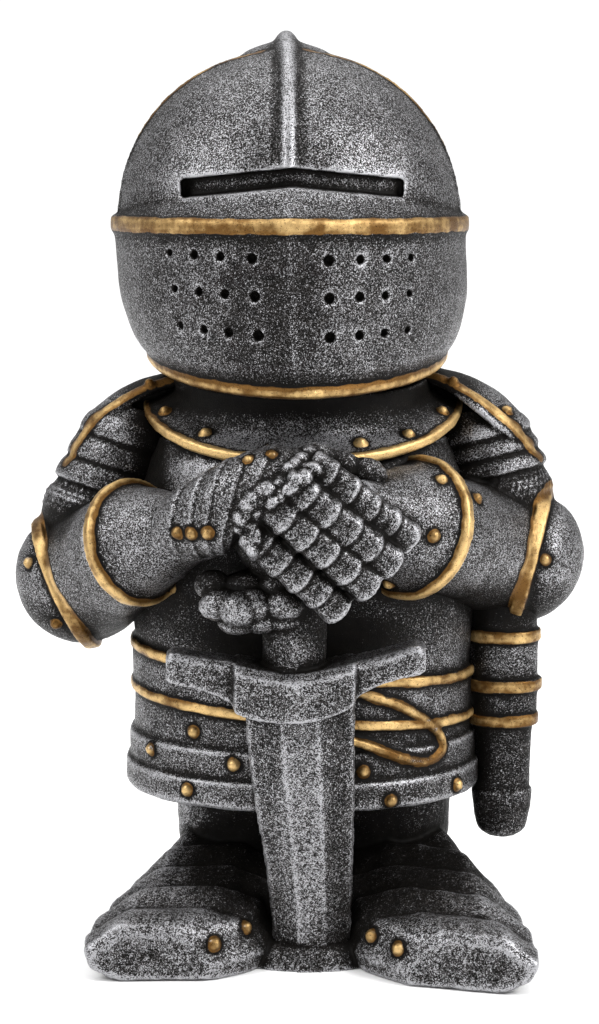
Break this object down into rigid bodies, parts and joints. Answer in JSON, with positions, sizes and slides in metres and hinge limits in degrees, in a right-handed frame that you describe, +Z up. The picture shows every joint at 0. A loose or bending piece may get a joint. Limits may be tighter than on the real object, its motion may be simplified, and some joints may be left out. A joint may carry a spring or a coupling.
{
  "type": "knight garden gnome",
  "caption": "Stout little knight in a closed helmet and plate armour, leaning both hands on a broad sword that stands between its feet, cast as one garden figure.",
  "frame": {"origin": "centre of the figure's box seen from above, at the level its feet stand on", "axes": "+Z up the figure, -Y the way the knight faces, -X the knight's right hand side"},
  "size_m": [0.1657, 0.1211, 0.2602],
  "materials": {
    "antiqued_silver_resin": "satin, painted: black-brown wash under dry-brushed silver, with gilt trims and rivets"
  },
  "bodies": {
    "root": {"knight_figure": "antiqued_silver_resin"}
  },
  "joints": []
}
